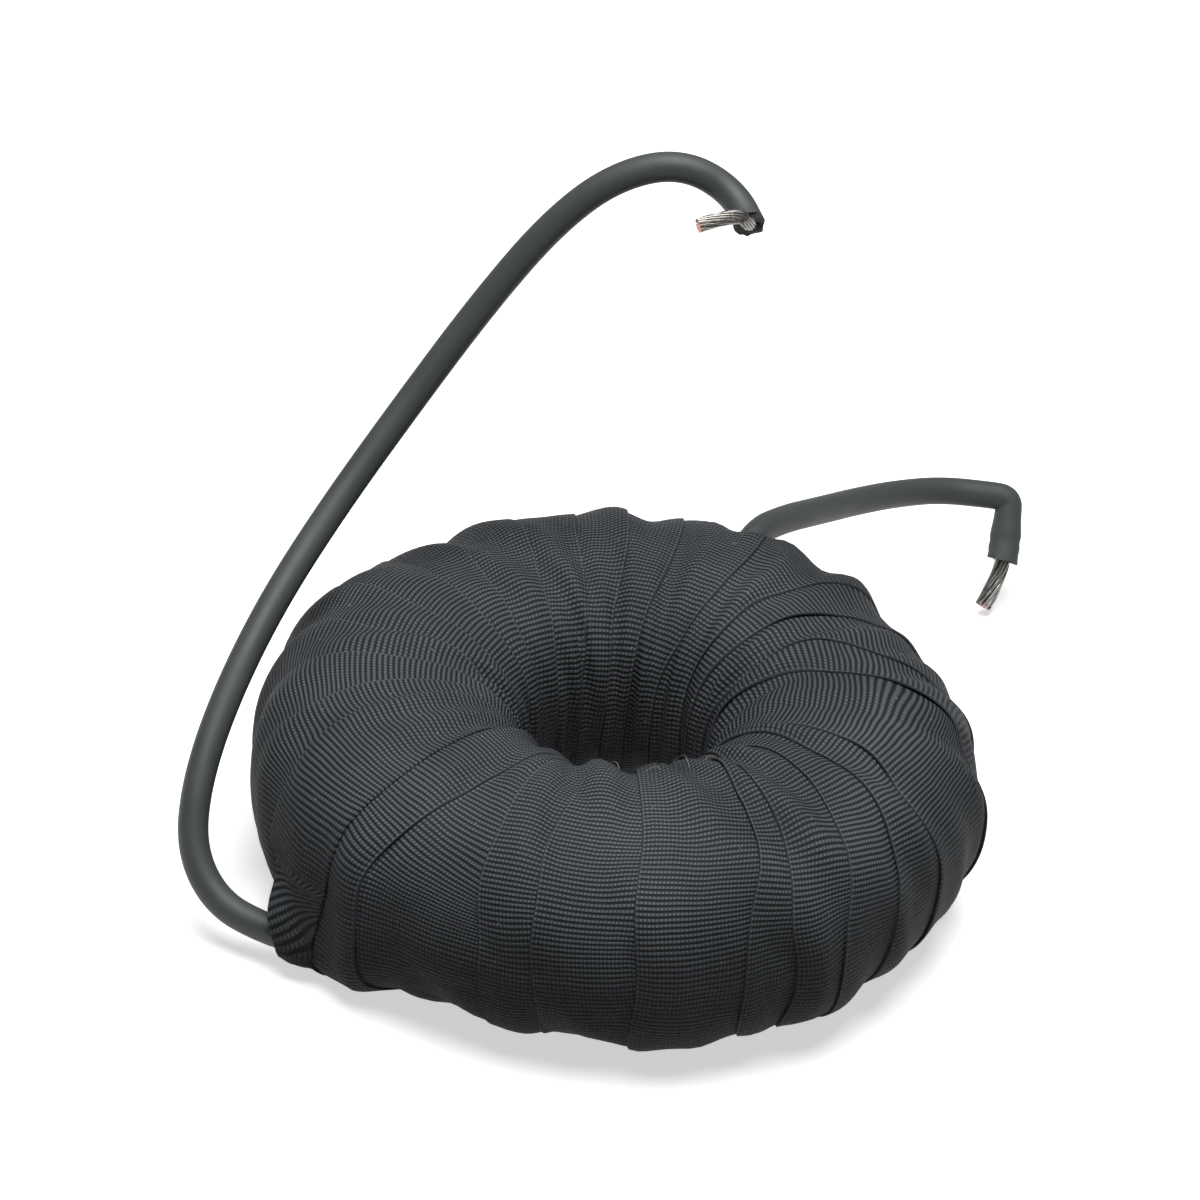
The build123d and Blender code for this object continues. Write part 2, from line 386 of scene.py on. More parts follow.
def pvc_jacket_material():
    """Extruded PVC wire jacket, dark grey and satin: a fine grain, small scuffs and a soft gloss."""
    material, tree, shader = start_material("dark grey extruded PVC jacket")
    place = add_node(tree, "ShaderNodeTexCoord")
    grain = noise(tree, place, 0.5, 3.0)
    patch = noise(tree, place, 9.0, 3.0)
    colour = two_tones(tree, patch.outputs["Fac"], "#404444", "#505454")
    gloss = add_node(
        tree,
        "ShaderNodeMapRange",
        {"Value": patch.outputs["Fac"], "From Min": 0.3, "From Max": 0.7, "To Min": 0.5, "To Max": 0.64},
    )
    bump = add_node(
        tree,
        "ShaderNodeBump",
        {"Height": grain.outputs["Fac"], "Strength": 0.25, "Distance": 0.05 * MM},
    )
    tree.links.new(colour.outputs["Result"], shader.inputs["Base Color"])
    tree.links.new(gloss.outputs[0], shader.inputs["Roughness"])
    tree.links.new(bump.outputs["Normal"], shader.inputs["Normal"])
    shader.inputs["IOR"].default_value = 1.52
    return material


def tinned_wire_material():
    """Drawn copper wire with a thin dull tin coat: grey, a little warm, with brighter and duller spots."""
    material, tree, shader = start_material("tinned copper strand")
    place = add_node(tree, "ShaderNodeTexCoord")
    wear = noise(tree, place, 0.9, 4.0)
    colour = two_tones(tree, wear.outputs["Fac"], "#7c7975", "#b4b1ac")
    gloss = add_node(
        tree,
        "ShaderNodeMapRange",
        {"Value": wear.outputs["Fac"], "From Min": 0.3, "From Max": 0.7, "To Min": 0.3, "To Max": 0.48},
    )
    tree.links.new(colour.outputs["Result"], shader.inputs["Base Color"])
    tree.links.new(gloss.outputs[0], shader.inputs["Roughness"])
    shader.inputs["Metallic"].default_value = 1.0
    return material


def cut_copper_material():
    """Copper where the cutter left a strand's end bare: pink, with dull spots."""
    material, tree, shader = start_material("cut copper")
    place = add_node(tree, "ShaderNodeTexCoord")
    spots = noise(tree, place, 0.3, 2.0)
    colour = two_tones(tree, spots.outputs["Fac"], "#b47a66", "#e3a892")
    tree.links.new(colour.outputs["Result"], shader.inputs["Base Color"])
    shader.inputs["Metallic"].default_value = 1.0
    shader.inputs["Roughness"].default_value = 0.42
    return material


def frayed_thread_material():
    """Single cotton fibres, where the dye has worn off: dull grey with paler lengths."""
    material, tree, shader = start_material("frayed cotton thread")
    place = add_node(tree, "ShaderNodeTexCoord")
    fade = noise(tree, place, 1.5, 1.0)
    colour = two_tones(tree, fade.outputs["Fac"], "#6d6b66", "#a9a59c")
    tree.links.new(colour.outputs["Result"], shader.inputs["Base Color"])
    shader.inputs["Roughness"].default_value = 0.8
    return material


def hidden_material(name, dark, light, feature_mm, roughness, metallic):
    """Finish of a piece inside the tape: two tones mottled at the size of its grain."""
    material, tree, shader = start_material(name)
    place = add_node(tree, "ShaderNodeTexCoord")
    grain = noise(tree, place, feature_mm, 3.0)
    colour = two_tones(tree, grain.outputs["Fac"], dark, light)
    bump = add_node(
        tree,
        "ShaderNodeBump",
        {"Height": grain.outputs["Fac"], "Strength": 0.3, "Distance": 0.1 * feature_mm * MM},
    )
    tree.links.new(colour.outputs["Result"], shader.inputs["Base Color"])
    tree.links.new(bump.outputs["Normal"], shader.inputs["Normal"])
    shader.inputs["Roughness"].default_value = roughness
    shader.inputs["Metallic"].default_value = metallic
    return material


tape_cloth = woven_tape_material()
pvc_jacket = pvc_jacket_material()
tinned_wire = tinned_wire_material()
cut_copper = cut_copper_material()
frayed_thread = frayed_thread_material()


# Cords
def cord_curve(name, points):
    """Open NURBS line with the route's points as its control points."""
    data = bpy.data.curves.new(name, "CURVE")
    data.dimensions = "3D"
    data.resolution_u = 12
    spline = data.splines.new("NURBS")
    spline.points.add(len(points) - 1)
    for control, point in zip(spline.points, points):
        control.co = (*(Vector(point) * MM), 1)
    spline.order_u = 3
    spline.use_endpoint_u = True
    return add_object(name, data)


def line_of(curve):
    """Points along a curve that has no bevel."""
    bpy.context.view_layer.update()
    mesh = bpy.data.meshes.new_from_object(curve)
    line = [vertex.co.copy() for vertex in mesh.vertices]
    bpy.data.meshes.remove(mesh)
    return line


# Stripped end of a jacket, in millimetres, with places measured back from the end
JACKET_WALL = 0.5
BORE_DEPTH = 1.6
WORKED_LENGTH = 7.0
RAGGED_STEPS = 24
RAGGED_RANGE = (-0.4, 0.3)
FLARE_LENGTH = 0.6
CREASE_PLACE = 2.6
CREASE_WIDTH = 0.35
SQUASH_PLACE = 2.5
SQUASH_LENGTH = 2.2


def jacket(name, points, strands_way, slant, flare, crease, squash):
    """Lead's jacket: a round tube along its route. Its stripped end is flared, torn ragged and longest on the
    side away from the strands, with a crease where the stripping tool bit and a squashed length behind it."""
    piece = cord_curve(name, points)
    line = line_of(piece)
    piece.data.bevel_depth = LEAD_RADIUS * MM
    piece.data.bevel_resolution = 10
    piece.data.use_fill_caps = True
    select_only(piece)
    bpy.ops.object.convert(target="MESH")
    piece = bpy.context.view_layer.objects.active
    select_only(piece)
    mesh = piece.data
    mesh.materials.clear()
    mesh.materials.append(pvc_jacket)
    end = line[-1]
    way_out = (line[-1] - line[-2]).normalized()
    bpy.ops.object.mode_set(mode="EDIT")
    bpy.ops.mesh.select_mode(type="VERT")
    bpy.ops.mesh.select_all(action="SELECT")
    bpy.ops.mesh.remove_doubles(threshold=0.001 * MM)
    bpy.ops.mesh.normals_make_consistent(inside=False)
    bpy.ops.mesh.select_mode(type="FACE")
    bpy.ops.mesh.select_all(action="DESELECT")
    bpy.ops.object.mode_set(mode="OBJECT")
    for face in mesh.polygons:
        near = (face.center - end).length < 0.6 * LEAD_RADIUS * MM
        face.select = near and face.normal.dot(way_out) > 0.9
    bpy.ops.object.mode_set(mode="EDIT")
    bpy.ops.mesh.inset(thickness=JACKET_WALL * MM)
    bpy.ops.mesh.extrude_region_move(TRANSFORM_OT_translate={"value": -way_out * BORE_DEPTH * MM})
    bpy.ops.object.mode_set(mode="OBJECT")
    way = Vector(strands_way)
    aside = (way - way_out * way.dot(way_out)).normalized()
    other = way_out.cross(aside)
    ragged = [chance.uniform(*RAGGED_RANGE) for _ in range(RAGGED_STEPS)]
    for vertex in mesh.vertices:
        gap = (vertex.co - end) / MM
        before = -gap.dot(way_out)
        spoke = gap + way_out * before
        if before > WORKED_LENGTH or spoke.length > 1.3 * LEAD_RADIUS:
            continue
        at_end = before < 0.01
        flared = flare * math.exp(-((before / FLARE_LENGTH) ** 2))
        creased = crease * math.exp(-(((before - CREASE_PLACE) / CREASE_WIDTH) ** 2))
        wider = squash * math.exp(-(((before - SQUASH_PLACE) / SQUASH_LENGTH) ** 2))
        vertex.co += (spoke * (flared - creased) + aside * spoke.dot(aside) * wider) * MM
        if at_end:
            turn = math.atan2(spoke.dot(other), spoke.dot(aside)) / (2 * math.pi)
            torn = ragged[round(turn * RAGGED_STEPS) % RAGGED_STEPS]
            vertex.co += way_out * (torn - slant * spoke.dot(aside) / LEAD_RADIUS) * MM
    bpy.ops.object.shade_smooth_by_angle(angle=math.radians(40))
    return piece, line


long_lead, long_line = jacket(
    "long_lead_jacket",
    LONG_LEAD_POINTS,
    strands_way=(-0.8, 0, 1),
    slant=0.45,
    flare=0.06,
    crease=0.0,
    squash=0.0,
)
short_lead, short_line = jacket(
    "short_lead_jacket",
    SHORT_LEAD_POINTS,
    strands_way=(-1, 0, -0.3),
    slant=0.4,
    flare=0.1,
    crease=0.13,
    squash=0.2,
)


def thin_wire(name, radius_mm, roundness, count):
    """Curve for a thin round wire, and its points, still to be placed."""
    data = bpy.data.curves.new(name, "CURVE")
    data.dimensions = "3D"
    data.bevel_depth = radius_mm * MM
    data.bevel_resolution = roundness
    data.use_fill_caps = True
    spline = data.splines.new("POLY")
    spline.points.add(count - 1)
    return add_object(name, data), spline.points


def joined(name, wires):
    """Turns wires to meshes and joins them to one piece with no material yet."""
    bpy.ops.object.select_all(action="DESELECT")
    for wire in wires:
        wire.select_set(True)
    bpy.context.view_layer.objects.active = wires[0]
    bpy.ops.object.convert(target="MESH")
    bpy.ops.object.join()
    piece = bpy.context.view_layer.objects.active
    piece.name = name
    piece.data.materials.clear()
    return piece


# Bare strands in millimetres: the count and radius of each ring of them, and the length of one full twist
STRAND_RADIUS = 0.185
STRAND_RINGS = [(1, 0.0), (6, 0.37), (12, 0.74)]
STRAND_LAY = 26.0
# The length inside the jacket, how unevenly the strands are cut, and how far from the tip cut faces are found
STRAND_ROOT = 1.5
STRAND_CUT = 0.5
STRAND_TIP = 1.6
# How unevenly they lie in their ring, in radians, and splay, and the outer one that can stand off
STRAND_JITTER = 0.12
STRAND_SPREAD = (0.3, 1.0)
OUTER_STRANDS = 12
LOOSE_STRAND = 4


def strand_bundle(name, lead_line, points, size, splay, loose):
    """Nineteen twisted strands from inside the jacket's end to their cut tips. One may stand off, loose."""
    guide = cord_curve(name + "_guide", points)
    line = line_of(guide)
    bpy.data.objects.remove(guide)
    root = lead_line[-1] + (lead_line[-1] - line[1]).normalized() * STRAND_ROOT * MM
    line = [root] + line
    sides = []
    heading = (line[1] - line[0]).normalized()
    side = heading.orthogonal().normalized()
    for i in range(len(line)):
        before = line[max(i - 1, 0)]
        after = line[min(i + 1, len(line) - 1)]
        turned = (after - before).normalized()
        side = (heading.rotation_difference(turned) @ side).normalized()
        heading = turned
        sides.append((turned, side.copy()))
    lengths = [0.0]
    for a, b in zip(line, line[1:]):
        lengths.append(lengths[-1] + (b - a).length)
    strands = []
    for count, ring in STRAND_RINGS:
        for number in range(count):
            start = 2 * math.pi * number / count + chance.uniform(-STRAND_JITTER, STRAND_JITTER)
            spread = chance.uniform(*STRAND_SPREAD) * splay
            bow = loose if count == OUTER_STRANDS and number == LOOSE_STRAND else 0.0
            cut = lengths[-1] - chance.uniform(0, STRAND_CUT) * MM
            kept = [i for i, length in enumerate(lengths) if length <= cut] or [0]
            strand, controls = thin_wire(name, STRAND_RADIUS * size, 2, len(kept))
            for control, i in zip(controls, kept):
                turned, across = sides[i]
                share = lengths[i] / lengths[-1]
                angle = start + 2 * math.pi * lengths[i] / (STRAND_LAY * MM)
                reach = ring * size * MM * (1 + spread * max(0.0, share - 0.5) ** 2)
                reach = reach + bow * MM * math.sin(math.pi * share) ** 2
                offset = Quaternion(turned, angle) @ across * reach
                control.co = (*(line[i] + offset), 1)
            strands.append(strand)
    piece = joined(name, strands)
    mesh = piece.data
    mesh.materials.append(tinned_wire)
    mesh.materials.append(cut_copper)
    tip = line[-1]
    way_out = (line[-1] - line[-2]).normalized()
    for face in mesh.polygons:
        if (face.center - tip).length < STRAND_TIP * MM and face.normal.dot(way_out) > 0.8:
            face.material_index = 1
    select_only(piece)
    bpy.ops.object.shade_smooth_by_angle(angle=math.radians(45))
    return piece


long_strands = strand_bundle(
    "long_lead_bare_strands",
    long_line,
    LONG_STRAND_POINTS,
    size=0.92,
    splay=0.5,
    loose=0.0,
)
short_strands = strand_bundle(
    "short_lead_bare_strands",
    short_line,
    SHORT_STRAND_POINTS,
    size=1.1,
    splay=0.8,
    loose=0.5,
)


# Tape: samples round the ring's section, and places across a turn, where 0 is its start and 1 its end
TURNS = len(TURN_EDGES)
ROUND_SAMPLES = 150
FREE_SHARES = [0.0, 0.012, 0.04, 0.09, 0.16]
TUCKED_SHARES = [-1.2, -0.9, -0.6, -0.3, -0.13, -0.02, 0.06, 0.15]
MIDDLE_SHARES = [0.25, 0.35, 0.45, 0.55, 0.65, 0.75]
UNDER_SHARES = [0.85, 0.5, 0.15]
UNDER_TUCK = 0.5

# Edges in degrees: how far they wander, and how far one is pulled out where the long lead leaves
EDGE_WANDER = 0.7
EDGE_WAVES = 6
EDGE_SEED = 100
LONG_EDGE_PULL = 10.0
LONG_EXIT_ANGLE = 330.0
LONG_PULL_SPREAD = 24.0

# Depth in thicknesses of the tape: a tucked lap dips away, and the underside sags more where nothing is seen
LAP_START = 0.51
LAP_DIP = 3.0
LAP_DEEPEST = 4.5
UNDERSIDE = 0.9
UNDERSIDE_SAG = 0.3
UNDERSIDE_DIP = 2.0
SAG_DEGREES = 20.0
EDGE_ROUNDING = 0.5
FLOOR_SHARE = 0.8

# Height in millimetres: the bulge in the middle of a turn, and the lift of a free edge with its width
TURN_BULGE = 0.3
BULGE_OUTSIDE = 0.6
EDGE_LIFT = 0.14
LIFT_WIDTH = 1.6
LIFT_WAVES = 7
LIFT_SEED = 300
FAR_FROM_EDGE = 9.0

# How much of an edge's slant the weave follows
WEAVE_SKEW = 0.5

# Smoothing of the swells, as shifts in degrees with their weights, and how far they fade towards the hole
SWELL_SMOOTHING = ((-3, 0.25), (0, 0.5), (3, 0.25))
SWELL_FADE = 0.45

# Small ridges of the winding under the tape, and the deepest dip on the flanks and at the corners
RIDGE_SEED = 21
RIDGES = 22
RIDGE_WAVES = (9, 40)
RIDGE_SIZE = 0.4
RIDGE_PHASE = 6.28
DEEPEST_DIP = 0.6
CORNER_DIP = 0.9

# Fold beside the short lead: height, then middle and spread by azimuth and by angle round the section
FOLD_HEIGHT = 0.9
FOLD_AZIMUTH = (62, 5)
FOLD_ANGLE = (50, 20)

# Slack cloth over the long lead's way out: height, middle and spread by angle, then the azimuths where it
# starts to rise and where its fall ends, each with the length of that slope
SLACK_HEIGHT = 2.8
SLACK_ANGLE = (320, 24)
SLACK_RISE = (211, 5)
SLACK_FALL = (236, 7)

# Tent of tape over a lead: cover over the wire, slope of its sides, softness of its foot, and its reach
TENT_COVER = 0.5
TENT_SLOPE = 42.0
TENT_FOOT = 1.4
TENT_DEPTH = 8.0
NO_TENT = -9.0
TENT_LOWEST = -4.0
# Points of the short lead's line before the way out that the tape isn't raised over
SHORT_LEAD_FREE = 7


def signed_power(values, power):
    """Power of the size of each value, with the value's own sign."""
    return np.sign(values) * np.abs(values) ** power


def hump(values, middle, spread):
    """Smooth hump, one in the middle and falling off to both sides."""
    return np.exp(-(((values - middle) / spread) ** 2))


def section_at(angles):
    """Radius, height and outward normal of the ring's section at angles from the outside upwards."""
    c, s = np.cos(angles), np.sin(angles)
    across = signed_power(c, 2 / SECTION_SQUARENESS)
    up = signed_power(s, 2 / SECTION_SQUARENESS)
    radius = SECTION_MIDDLE + SECTION_HALF_WIDTH * across
    height = SECTION_CENTRE_HEIGHT + SECTION_HALF_HEIGHT * up
    normal_r = signed_power(across, SECTION_SQUARENESS - 1) / SECTION_HALF_WIDTH
    normal_z = signed_power(up, SECTION_SQUARENESS - 1) / SECTION_HALF_HEIGHT
    size = np.hypot(normal_r, normal_z)
    return radius, height, normal_r / size, normal_z / size


def even_angles(count):
    """Angles round the section that lie evenly along its girth, and how far along each one is."""
    fine = np.linspace(0, 2 * np.pi, 8001)
    radius, height, _, _ = section_at(fine)
    run = np.concatenate([[0], np.cumsum(np.hypot(np.diff(radius), np.diff(height)))])
    wanted = np.linspace(0, run[-1], count, endpoint=False)
    return np.interp(wanted, run, fine), wanted


def wander(terms, seed):
    """Random smooth closed line of about unit size, as amplitudes and phases of its waves."""
    draw = np.random.default_rng(seed)
    return [(m, draw.normal() / math.sqrt(terms), draw.uniform(0, 2 * np.pi)) for m in range(1, terms + 1)]


def edge_azimuths(angles):
    """Azimuth of each turn's free edge round the section, one row for each turn and one more to close."""
    rows = []
    for number, (outside, crown, hole) in enumerate(TURN_EDGES + [tuple(e + 360 for e in TURN_EDGES[0])]):
        rest = (outside + hole) / 2
        row = (outside + crown + hole + rest) / 4
        row = row + (outside - hole) / 2 * np.cos(angles) + (crown - rest) / 2 * np.sin(angles)
        row = row + (outside - crown + hole - rest) / 4 * np.cos(2 * angles)
        for m, size, phase in wander(EDGE_WAVES, EDGE_SEED + number % TURNS):
            row = row + EDGE_WANDER * size * np.cos(m * angles + phase)
        if number == LONG_LEAD_TURN:
            row = row + LONG_EDGE_PULL * hump(np.degrees(angles), LONG_EXIT_ANGLE, LONG_PULL_SPREAD)
        rows.append(row)
    return np.array(rows)


def lumps(azimuth, angles):
    """Uneven winding under the tape, in millimetres: the measured swells outside, small soft ridges, and a
    fold beside the short lead's way out."""
    places = [place for place, _ in RING_SWELLS]
    sizes = [size for _, size in RING_SWELLS]
    swell = np.zeros_like(azimuth)
    for shift, weight in SWELL_SMOOTHING:
        swell = swell + weight * np.interp((azimuth + shift) % 360, places, sizes, period=360)
    outside = np.clip((np.cos(angles) + SWELL_FADE) / (2 * SWELL_FADE), 0, 1)
    total = swell * outside * outside * (3 - 2 * outside)
    draw = np.random.default_rng(RIDGE_SEED)
    for _ in range(RIDGES):
        m = draw.integers(*RIDGE_WAVES)
        n = draw.integers(0, 5)
        size = draw.normal() * RIDGE_SIZE / math.sqrt(m)
        total = total + size * np.cos(np.radians(azimuth) * m + n * angles + draw.uniform(0, RIDGE_PHASE))
    fold = FOLD_HEIGHT * hump(azimuth, *FOLD_AZIMUTH) * hump(np.degrees(angles), *FOLD_ANGLE)
    corner = np.abs(np.sin(2 * angles))
    return np.maximum(total, -DEEPEST_DIP - CORNER_DIP * corner) + fold


def raised_over(line, base, normal):
    """How far the tape is raised over a wire that runs under it, in millimetres: a tent with a round top."""
    radius = LEAD_RADIUS + TENT_COVER
    slope = math.radians(TENT_SLOPE)
    shoulder = radius * math.sin(slope)
    points = np.array([tuple(p) for p in line]) / MM
    tent = np.full(base.shape[:-1], NO_TENT)
    for point in points:
        gap = base - point
        over = -(gap * normal).sum(-1)
        beside = np.sqrt(np.maximum((gap**2).sum(-1) - over**2, 0))
        top = over + np.sqrt(np.maximum(radius**2 - np.minimum(beside, shoulder) ** 2, 0))
        side = top - np.maximum(beside - shoulder, 0) * math.tan(slope)
        tent = np.maximum(tent, np.where(np.abs(over) < TENT_DEPTH, side, NO_TENT))
    return 0.5 * (tent + np.sqrt(tent**2 + TENT_FOOT**2)) * (tent > TENT_LOWEST)


def slack_over_exit(azimuth, angles):
    """Loose cloth low on the outside, in millimetres, where turns stretch over the long lead's way out."""
    rise = np.clip((azimuth - SLACK_RISE[0]) / SLACK_RISE[1], 0, 1)
    fall = np.clip((SLACK_FALL[0] - azimuth) / SLACK_FALL[1], 0, 1)
    return SLACK_HEIGHT * hump(np.degrees(angles), *SLACK_ANGLE) * rise * fall


def shares_of(start_sunk, end_sunk):
    """Places across a turn, 0 at its start and 1 at its end, close together near its free edges."""
    first = TUCKED_SHARES if start_sunk else FREE_SHARES
    last = TUCKED_SHARES if end_sunk else FREE_SHARES
    return first + MIDDLE_SHARES + [1 - share for share in reversed(last)]


def under_shares_of(top, start_sunk, end_sunk):
    """Places across a turn's underside, from its end back to its start, fewer as they are out of sight."""
    last = [top[-1]] + [1 + UNDER_TUCK] * end_sunk
    first = [-UNDER_TUCK] * start_sunk + [top[0]]
    return last + UNDER_SHARES + first


def nearest_on(line, place_mm):
    """Number of the point of a line that is nearest to a place in millimetres."""
    place = Vector(place_mm) * MM
    return min(range(len(line)), key=lambda i: (line[i] - place).length)


def wound_tape():
    """Every turn of the tape as a closed strip, proud at its free edge and tucked under its neighbour."""
    angles, along = even_angles(ROUND_SAMPLES)
    girth = along[-1] + along[1]
    edges = edge_azimuths(angles)
    radius, height, normal_r, normal_z = section_at(angles)
    hole_share = np.clip((SECTION_MIDDLE - radius) / SECTION_HALF_WIDTH, 0, 1)
    thickness = TAPE_THICKNESS + (TAPE_THICKNESS_IN_HOLE - TAPE_THICKNESS) * hole_share
    long_hidden = long_line[: nearest_on(long_line, LONG_EXIT) + 1]
    short_hidden = short_line[: nearest_on(short_line, SHORT_EXIT) - SHORT_LEAD_FREE]
    vertices = []
    faces = []
    threads = []
    for turn in range(TURNS):
        start_sunk = turn in REVERSED_EDGES
        end_sunk = (turn + 1) % TURNS not in REVERSED_EDGES
        start = edges[turn]
        end = edges[turn + 1]
        before = start - (edges[turn - 1] if turn else edges[TURNS - 1] - 360)
        after = (edges[turn + 2] if turn + 2 <= TURNS else edges[1] + 360) - end
        lift = np.zeros_like(angles)
        for m, size, phase in wander(LIFT_WAVES, LIFT_SEED + turn):
            lift = lift + size * np.cos(m * angles + phase)
        lift = np.clip(lift, 0, None) * EDGE_LIFT
        free = end if start_sunk and not end_sunk else start
        around = np.concatenate([free[-1:], free, free[:1]])
        slope = (around[2:] - around[:-2]) / (2 * along[1]) * np.pi / 180 * radius
        top = shares_of(start_sunk, end_sunk)
        under = under_shares_of(top, start_sunk, end_sunk)
        rows = []
        cloth = []
        for level, shares in ((0, top), (1, under)):
            for share in shares:
                within = min(max(share, 0), 1)
                arch = math.sin(math.pi * within)
                past = max(abs(share - 0.5) - LAP_START, 0)
                azimuth = start + (end - start) * within
                azimuth = azimuth + before * min(share, 0) + after * max(share - 1, 0)
                sunk = start_sunk * max(1 - share, 0) + end_sunk * max(share, 0)
                sunk = min(sunk + LAP_DIP * past, LAP_DEEPEST)
                sag = (UNDERSIDE_SAG + (end - start) / SAG_DEGREES + hole_share) * arch
                hidden = UNDERSIDE + sag + UNDERSIDE_DIP * past
                drop = thickness * (sunk + level * hidden)
                if level == 0 and share in (0.0, 1.0):
                    drop = drop + thickness * EDGE_ROUNDING
                across = (azimuth - free) * np.pi / 180 * radius
                from_edge = np.full_like(across, FAR_FROM_EDGE)
                if not start_sunk:
                    from_edge = np.minimum(from_edge, np.abs(azimuth - start) * np.pi / 180 * radius)
                if not end_sunk:
                    from_edge = np.minimum(from_edge, np.abs(azimuth - end) * np.pi / 180 * radius)
                bulge = TURN_BULGE * arch * (BULGE_OUTSIDE + hole_share)
                turned = np.radians(azimuth)
                outward = np.stack([np.cos(turned), np.sin(turned), np.zeros_like(turned)], -1)
                normal = outward * normal_r[:, None]
                normal[:, 2] = normal_z
                base = outward * radius[:, None]
                base[:, 2] = height
                raised = lumps(azimuth, angles) + bulge + lift * np.exp(-from_edge / LIFT_WIDTH) - drop
                if turn >= LONG_LEAD_TURN:
                    tent = raised_over(long_hidden, base, normal)
                    raised = raised + np.maximum(tent, slack_over_exit(azimuth, angles))
                if turn >= SHORT_LEAD_TURN:
                    raised = raised + raised_over(short_hidden, base, normal)
                place = base + normal * raised[:, None]
                place[:, 2] = np.maximum(place[:, 2], drop * FLOOR_SHARE)
                rows.append(place)
                cloth.append((along + WEAVE_SKEW * across * slope, np.abs(across)))
        ring = len(rows)
        first = len(vertices)
        for j in range(ROUND_SAMPLES):
            for row in rows:
                vertices.append(tuple(row[j] * MM))
        for j in range(ROUND_SAMPLES):
            following = (j + 1) % ROUND_SAMPLES
            for i in range(ring):
                beside = (i + 1) % ring
                faces.append(
                    (
                        first + j * ring + i,
                        first + j * ring + beside,
                        first + following * ring + beside,
                        first + following * ring + i,
                    )
                )
                lap = girth if following == 0 else 0.0
                corners = ((j, 0, i), (j, 0, beside), (following, lap, beside), (following, lap, i))
                for place, extra, column in corners:
                    threads.append((cloth[column][0][place] + extra, cloth[column][1][place]))
    mesh = bpy.data.meshes.new("wound_tape")
    mesh.from_pydata(vertices, [], faces)
    layer = mesh.uv_layers.new(name="weave")
    layer.data.foreach_set("uv", np.array(threads, dtype=np.float32).ravel())
    mesh.materials.append(tape_cloth)
    piece = add_object("wound_tape", mesh)
    select_only(piece)
    bpy.ops.object.mode_set(mode="EDIT")
    bpy.ops.mesh.select_all(action="SELECT")
    bpy.ops.mesh.normals_make_consistent(inside=False)
    bpy.ops.object.mode_set(mode="OBJECT")
    bpy.ops.object.shade_smooth_by_angle(angle=math.radians(50))
    return piece


wound = wound_tape()


# Loose fibres at the hole's front lip: azimuth and angle round the section where each starts, and its length
FIBRES = [
    (266, 118, 4.0),
    (272, 128, 2.6),
    (288, 112, 3.4),
    (297, 120, 5.5),
    (303, 126, 3.0),
    (316, 116, 4.5),
]
FIBRE_RADIUS = 0.035
FIBRE_STEPS = 9
FIBRE_BEND = 0.25
FIBRE_LOFT = 0.5
FIBRE_CLEARANCE = 0.04


def loose_fibres():
    """Frayed ends of thread that stand off the tape's edges at the hole."""
    strands = []
    for azimuth, angle, length in FIBRES:
        radius, height, _, _ = section_at(np.radians(angle))
        turned = math.radians(azimuth)
        start = Vector((radius * math.cos(turned), radius * math.sin(turned), height)) * MM
        _, start, normal, _ = wound.closest_point_on_mesh(start)
        way = normal.cross(Vector((0, 0, 1))).normalized() * chance.choice((-1, 1))
        strand, controls = thin_wire("loose_fibres", FIBRE_RADIUS, 1, FIBRE_STEPS + 1)
        bend = chance.uniform(-FIBRE_BEND, FIBRE_BEND)
        for step, control in enumerate(controls):
            share = step / FIBRE_STEPS
            way = (Quaternion(normal, bend) @ way).normalized()
            reach = start if step == 0 else place + way * length / FIBRE_STEPS * MM
            _, touched, normal, _ = wound.closest_point_on_mesh(reach)
            place = touched + normal * (FIBRE_LOFT * math.sin(math.pi * share) + FIBRE_CLEARANCE) * MM
            control.co = (*place, 1)
        strands.append(strand)
    piece = joined("loose_fibres", strands)
    piece.data.materials.append(frayed_thread)
    return piece


fibres = loose_fibres()
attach(fibres, "root")

# Hidden pieces keep their solids and get their own finish: name, two tones, grain, roughness and metallic
HIDDEN_FINISHES = {
    "core": ("epoxy coated iron powder", "#6d7270", "#8b908d", 0.4, 0.5, 0.0),
    "winding": ("enamelled copper wire", "#7a3a1c", "#a55a2e", 1.6, 0.3, 0.8),
    "long_splice": ("shrunk polyolefin sleeve", "#161616", "#242424", 0.8, 0.5, 0.0),
    "short_splice": ("shrunk polyolefin sleeve, second", "#161616", "#242424", 0.8, 0.5, 0.0),
}
for node, finish in HIDDEN_FINISHES.items():
    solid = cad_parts[node]
    solid.data.materials.clear()
    solid.data.materials.append(hidden_material(*finish))

# Bodies and replaced nodes: each piece is attached to the root body and the node it replaces is hidden. The
# table's columns are the piece, the node and a slot name.
for piece, node, slot in (
    (wound, "tape_wrap", "woven_tape"),
    (long_lead, "long_lead", "lead_jacket"),
    (short_lead, "short_lead", "lead_jacket"),
    (long_strands, "long_lead_strands", "tinned_strands"),
    (short_strands, "short_lead_strands", "tinned_strands"),
):
    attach(piece, "root")
    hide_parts(node)


# Floor, light and background, in metres and watts
FLOOR_SIZE = 6.0
PAPER_GLOW = 0.6
LAMP_PLACE = Vector((0.0, -0.03, 0.64))
LAMP_AIM = Vector((0, 0, 0.02))
LAMP_SIZE = 0.5
LAMP_POWER = 5.0
SURROUND_STRENGTH = 0.05


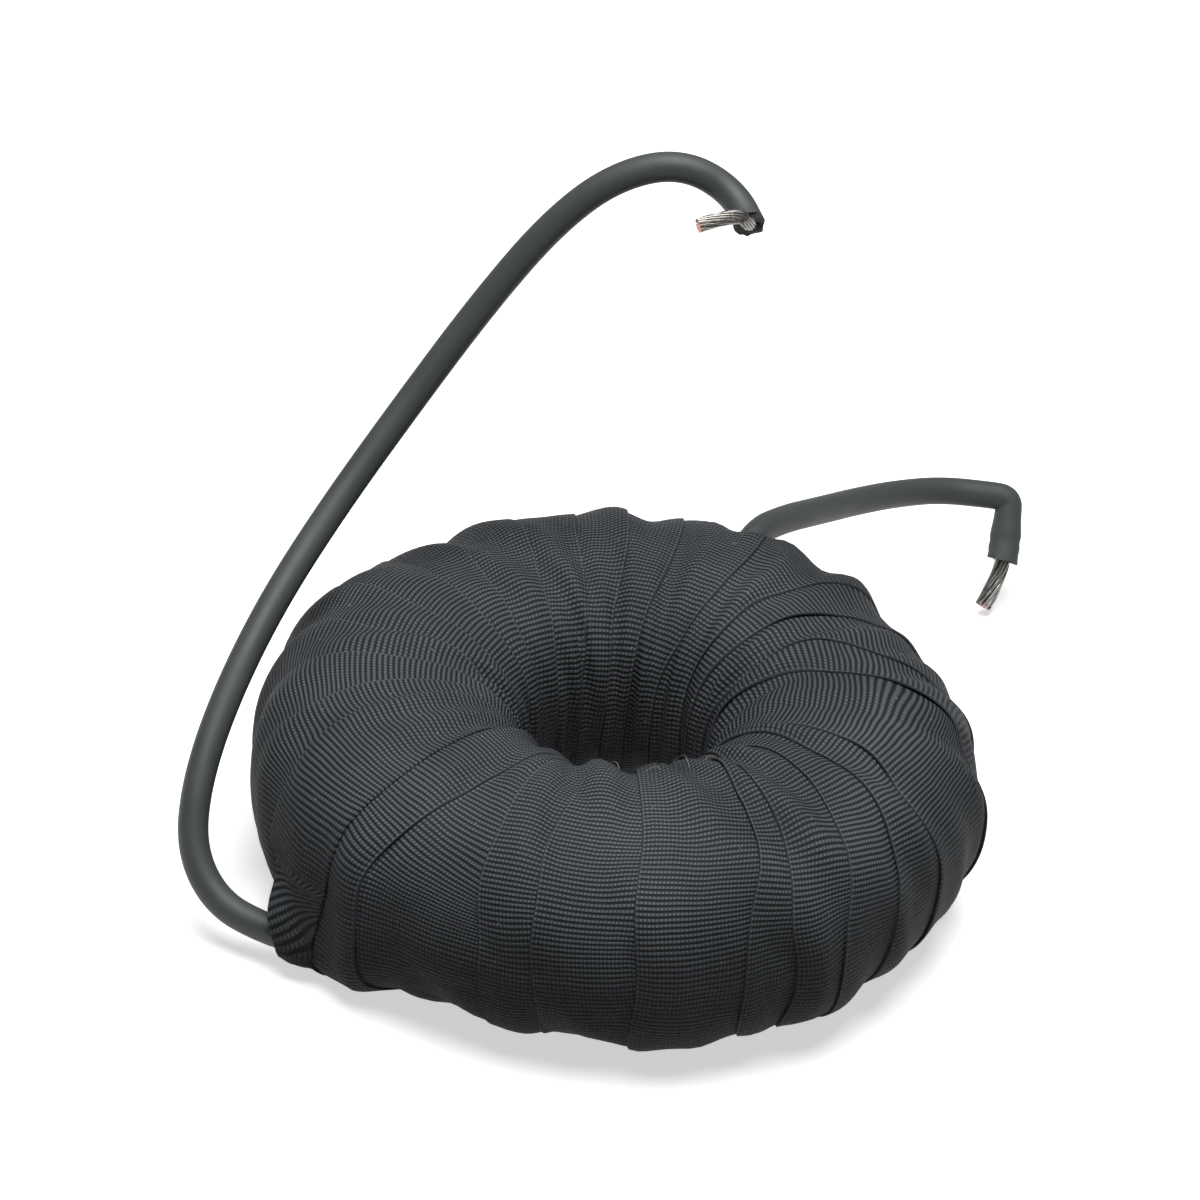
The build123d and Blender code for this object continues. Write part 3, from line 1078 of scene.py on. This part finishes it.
def seen_directly(tree):
    """One where the camera, a mirror or a clear piece sees the surface, and nought for the light it sends."""
    path = add_node(tree, "ShaderNodeLightPath")
    mirrored = add_node(
        tree,
        "ShaderNodeMath",
        {0: path.outputs["Is Camera Ray"], 1: path.outputs["Is Glossy Ray"]},
        operation="MAXIMUM",
    )
    seen = add_node(
        tree,
        "ShaderNodeMath",
        {0: mirrored.outputs[0], 1: path.outputs["Is Transmission Ray"]},
        operation="MAXIMUM",
    )
    return seen.outputs[0]


def paper_material():
    """Matt white paper sweep: plain white to the eye with a fine tooth, and it keeps a soft shadow."""
    material, tree, shader = start_material("matt white paper")
    place = add_node(tree, "ShaderNodeTexCoord")
    tooth = noise(tree, place, 1.0, 2.0)
    paper = two_tones(tree, tooth.outputs["Fac"], "#f6f6f6", "#fafafa")
    colour = add_node(
        tree,
        "ShaderNodeMix",
        {"Factor": seen_directly(tree), "A": srgb("#505050"), "B": paper.outputs["Result"]},
        data_type="RGBA",
    )
    glow = add_node(tree, "ShaderNodeMath", {0: seen_directly(tree), 1: PAPER_GLOW}, operation="MULTIPLY")
    tree.links.new(colour.outputs["Result"], shader.inputs["Base Color"])
    tree.links.new(glow.outputs[0], shader.inputs["Emission Strength"])
    shader.inputs["Emission Color"].default_value = (1, 1, 1, 1)
    shader.inputs["Roughness"].default_value = 0.9
    shader.inputs["Specular IOR Level"].default_value = 0.0
    return material


def studio():
    """White paper floor, one wide soft lamp overhead and an even, dim surround."""
    bpy.ops.object.select_all(action="DESELECT")
    bpy.ops.mesh.primitive_plane_add(size=FLOOR_SIZE, location=(0, 0, 0))
    floor = bpy.context.view_layer.objects.active
    floor.name = "floor"
    floor.data.materials.append(paper_material())
    data = bpy.data.lights.new("top_lamp", "AREA")
    data.shape = "DISK"
    data.size = LAMP_SIZE
    data.energy = LAMP_POWER
    lamp = add_object("top_lamp", data)
    lamp.location = LAMP_PLACE
    aim = LAMP_AIM - LAMP_PLACE
    lamp.rotation_euler = aim.to_track_quat("-Z", "Y").to_euler()
    world = bpy.data.worlds.new("studio_surround")
    bpy.context.scene.world = world
    world.use_nodes = True
    tree = world.node_tree
    backdrop = tree.nodes["Background"]
    backdrop.inputs["Strength"].default_value = SURROUND_STRENGTH
    backdrop.inputs["Color"].default_value = (1, 1, 1, 1)


studio()
bpy.context.scene.view_settings.view_transform = "Standard"
